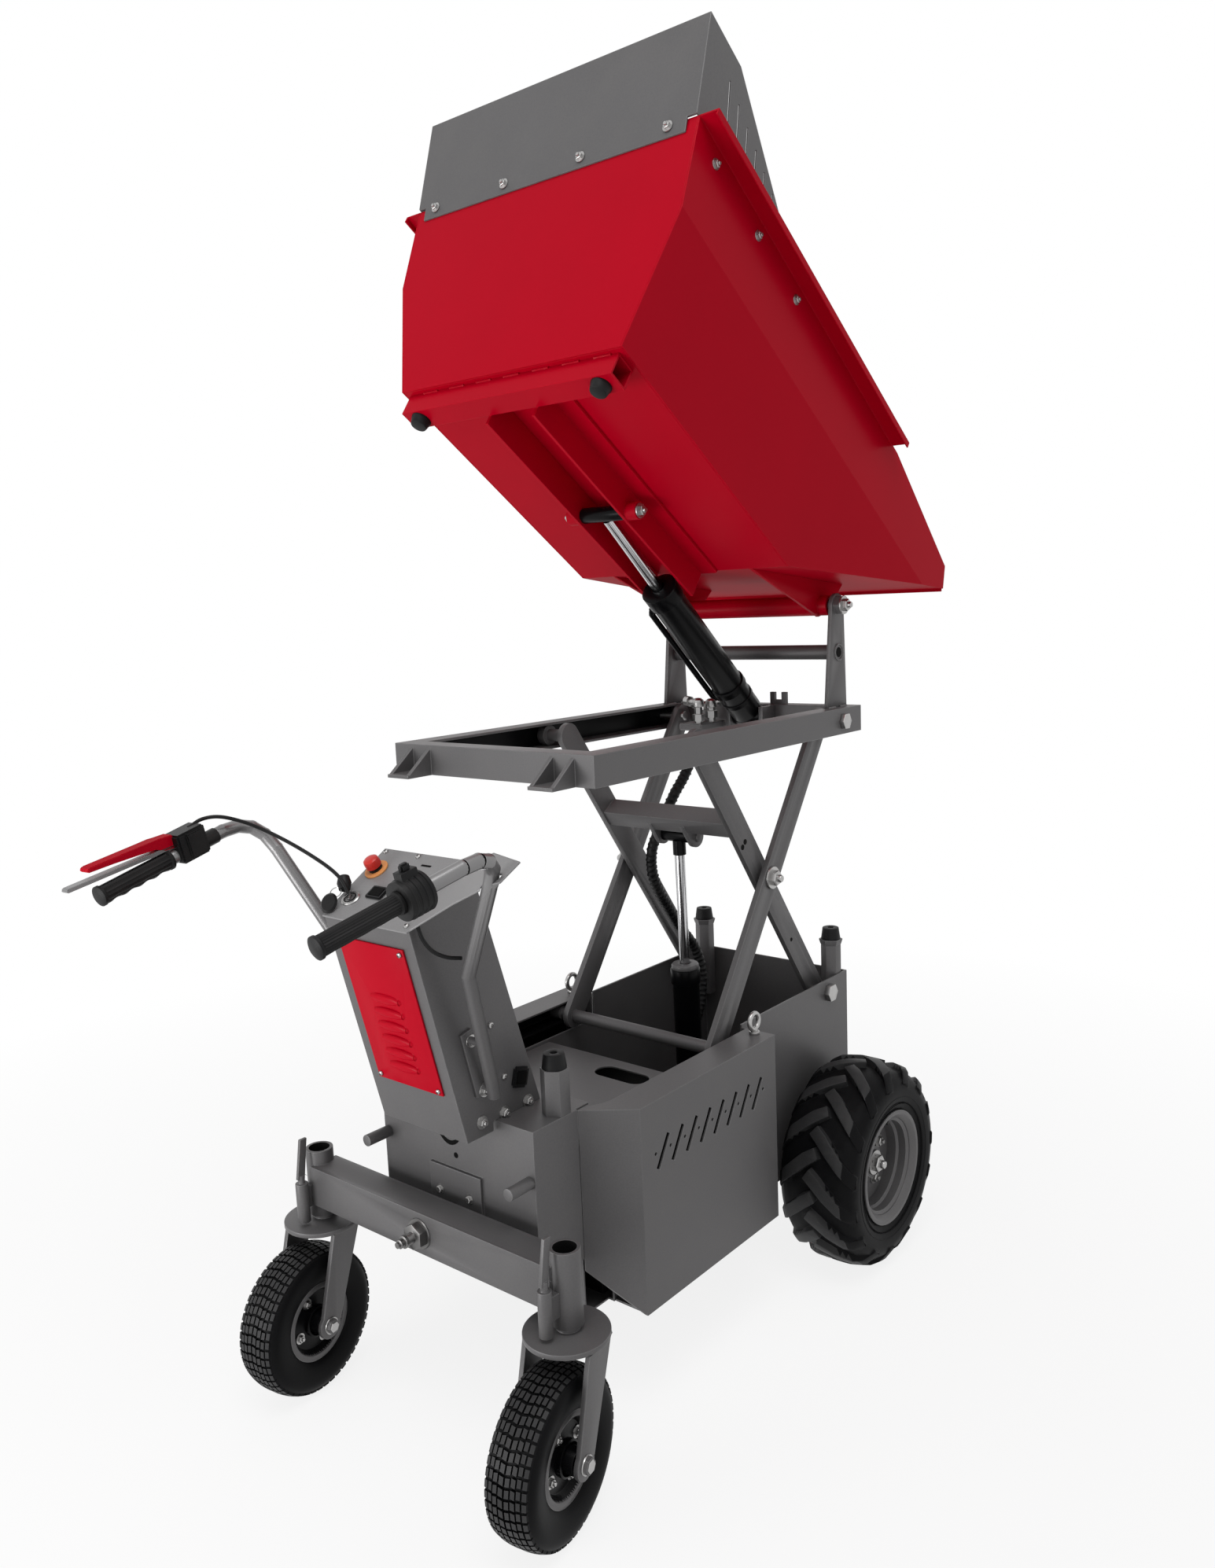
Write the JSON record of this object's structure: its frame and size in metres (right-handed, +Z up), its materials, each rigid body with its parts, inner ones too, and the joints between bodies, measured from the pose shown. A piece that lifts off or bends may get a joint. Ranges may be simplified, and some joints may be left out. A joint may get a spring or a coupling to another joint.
{
  "type": "walk-behind scissor-lift mini dumper",
  "caption": "Pedestrian electric site dumper: lugged drive wheels, rocking caster axle, scissor lift under an upper frame, and a forward-tipping red skip with a bolt-on rear extension.",
  "frame": {"origin": "on the ground, under the middle of the bounding box", "axes": "+X forward to the drive wheels and tipping end, +Y to the operator's left, +Z up"},
  "size_m": [1.6684, 0.743, 2.2132],
  "materials": {
    "steel_paint": "satin silver-grey paint",
    "red_paint": "satin red paint",
    "rubber": "matte black rubber and plastic grip",
    "tyre": "matte black tyre rubber",
    "black_paint": "gloss black paint",
    "chrome": "ground and chromed",
    "zinc": "zinc plated",
    "plastic": "matte"
  },
  "bodies": {
    "chassis": {"chassis_floor": "steel_paint", "chassis_rear": "steel_paint", "chassis_front": "steel_paint", "side_box_right": "steel_paint", "side_box_left": "steel_paint", "deck_cover": "steel_paint", "roller_tracks": "black_paint", "stop_posts": "steel_paint", "stop_rubbers": "rubber", "rock_stops": "steel_paint", "battery_block": "plastic", "drive_axle": "steel_paint", "eye_bolts": "zinc", "lower_arm_pins": "zinc", "lift_base": "steel_paint", "pivot_bolt": "zinc", "console_shell": "steel_paint", "console_panel": "red_paint", "dash_plate": "steel_paint", "dash_controls": "plastic", "handlebars": "steel_paint", "grips": "rubber", "throttle": "rubber", "hand_levers": "rubber"},
    "drive_wheel_right": {"drive_tyre_right": "tyre", "drive_rim_right": "steel_paint"},
    "drive_wheel_left": {"drive_tyre_left": "tyre", "drive_rim_left": "steel_paint"},
    "caster_axle": {"axle_beam": "steel_paint", "swivel_locks": "steel_paint"},
    "caster_fork_right": {"caster_fork_right": "steel_paint"},
    "caster_fork_left": {"caster_fork_left": "steel_paint"},
    "caster_wheel_right": {"caster_tyre_right": "tyre", "caster_rim_right": "steel_paint"},
    "caster_wheel_left": {"caster_tyre_left": "tyre", "caster_rim_left": "steel_paint"},
    "inner_scissor": {"inner_arms": "steel_paint", "arm_hoses": "rubber"},
    "outer_scissor": {"outer_arms": "steel_paint"},
    "upper_frame": {"upper_frame": "steel_paint", "uprights": "steel_paint", "cross_tube": "steel_paint", "tip_base": "steel_paint", "upper_arm_pins": "zinc"},
    "lift_barrel": {"lift_barrel": "black_paint"},
    "lift_rod": {"lift_rod": "chrome"},
    "tip_barrel": {"tip_barrel": "black_paint", "tip_pipe": "black_paint"},
    "tip_rod": {"tip_rod": "chrome"},
    "skip": {"skip_floor": "red_paint", "skip_front": "red_paint", "skip_rear": "red_paint", "skip_side_right": "red_paint", "skip_side_left": "red_paint", "skip_underframe": "red_paint", "skip_bumpers": "rubber", "skip_extension": "steel_paint", "skip_hinge": "red_paint"}
  },
  "joints": [
    {"name": "drive_spin_right", "type": "hinge", "parent": "chassis", "child": "drive_wheel_right", "pos_m": [0.4698, -0.289, 0.203], "axis": [0, 1, 0], "continuous": true},
    {"name": "drive_spin_left", "type": "hinge", "parent": "chassis", "child": "drive_wheel_left", "pos_m": [0.4698, 0.289, 0.203], "axis": [0, 1, 0], "continuous": true},
    {"name": "axle_rock", "type": "hinge", "parent": "chassis", "child": "caster_axle", "pos_m": [-0.41719, 0, 0.357], "axis": [1, 0, 0], "range_deg": [-8, 8]},
    {"name": "caster_swivel_right", "type": "hinge", "parent": "caster_axle", "child": "caster_fork_right", "pos_m": [-0.41719, -0.289, 0.3], "axis": [0, 0, 1], "continuous": true},
    {"name": "caster_swivel_left", "type": "hinge", "parent": "caster_axle", "child": "caster_fork_left", "pos_m": [-0.41719, 0.289, 0.3], "axis": [0, 0, 1], "continuous": true},
    {"name": "caster_spin_right", "type": "hinge", "parent": "caster_fork_right", "child": "caster_wheel_right", "pos_m": [-0.47628, -0.29942, 0.126], "axis": [-0.1736, 0.9848, 0], "continuous": true},
    {"name": "caster_spin_left", "type": "hinge", "parent": "caster_fork_left", "child": "caster_wheel_left", "pos_m": [-0.47661, 0.28065, 0.126], "axis": [-0.1392, 0.9903, 0], "continuous": true},
    {"name": "lift", "type": "hinge", "parent": "chassis", "child": "inner_scissor", "pos_m": [0.5398, 0, 0.515], "axis": [0, 1, 0], "range_deg": [-42, 0]},
    {"name": "scissor_cross", "type": "hinge", "parent": "inner_scissor", "child": "outer_scissor", "pos_m": [0.33884, 0, 0.80094], "axis": [0, 1, 0], "range_deg": [0, 84]},
    {"name": "frame_level", "type": "hinge", "parent": "outer_scissor", "child": "upper_frame", "pos_m": [0.5398, 0, 1.08689], "axis": [0, 1, 0], "range_deg": [-42, 0]},
    {"name": "lift_barrel_swing", "type": "hinge", "parent": "chassis", "child": "lift_barrel", "pos_m": [0.2988, 0, 0.222], "axis": [0, 1, 0], "range_deg": [-24.92, 0]},
    {"name": "lift_rod_slide", "type": "slide", "parent": "lift_barrel", "child": "lift_rod", "axis": [-0.0235, 0, 0.9997], "range_m": [-0.2203, 0]},
    {"name": "skip_tip", "type": "hinge", "parent": "upper_frame", "child": "skip", "pos_m": [0.56651, 0, 1.31689], "axis": [0, 1, 0], "range_deg": [-39.4, 20]},
    {"name": "tip_barrel_swing", "type": "hinge", "parent": "upper_frame", "child": "tip_barrel", "pos_m": [0.5518, 0, 1.09189], "axis": [0, 1, 0], "range_deg": [-32.11, 16.3]},
    {"name": "tip_rod_slide", "type": "slide", "parent": "tip_barrel", "child": "tip_rod", "axis": [-0.7477, 0, 0.664], "range_m": [-0.13753, 0.06982]}
  ],
  "couplings": [
    {"joint": "scissor_cross", "follows": "lift", "ratio": -2},
    {"joint": "frame_level", "follows": "lift", "ratio": 1},
    {"joint": "lift_barrel_swing", "follows": "lift", "ratio": 0.59338},
    {"joint": "lift_rod_slide", "follows": "lift", "m_per_rad": 0.30053},
    {"joint": "tip_barrel_swing", "follows": "skip_tip", "ratio": 0.815},
    {"joint": "tip_rod_slide", "follows": "skip_tip", "m_per_rad": 0.2}
  ]
}
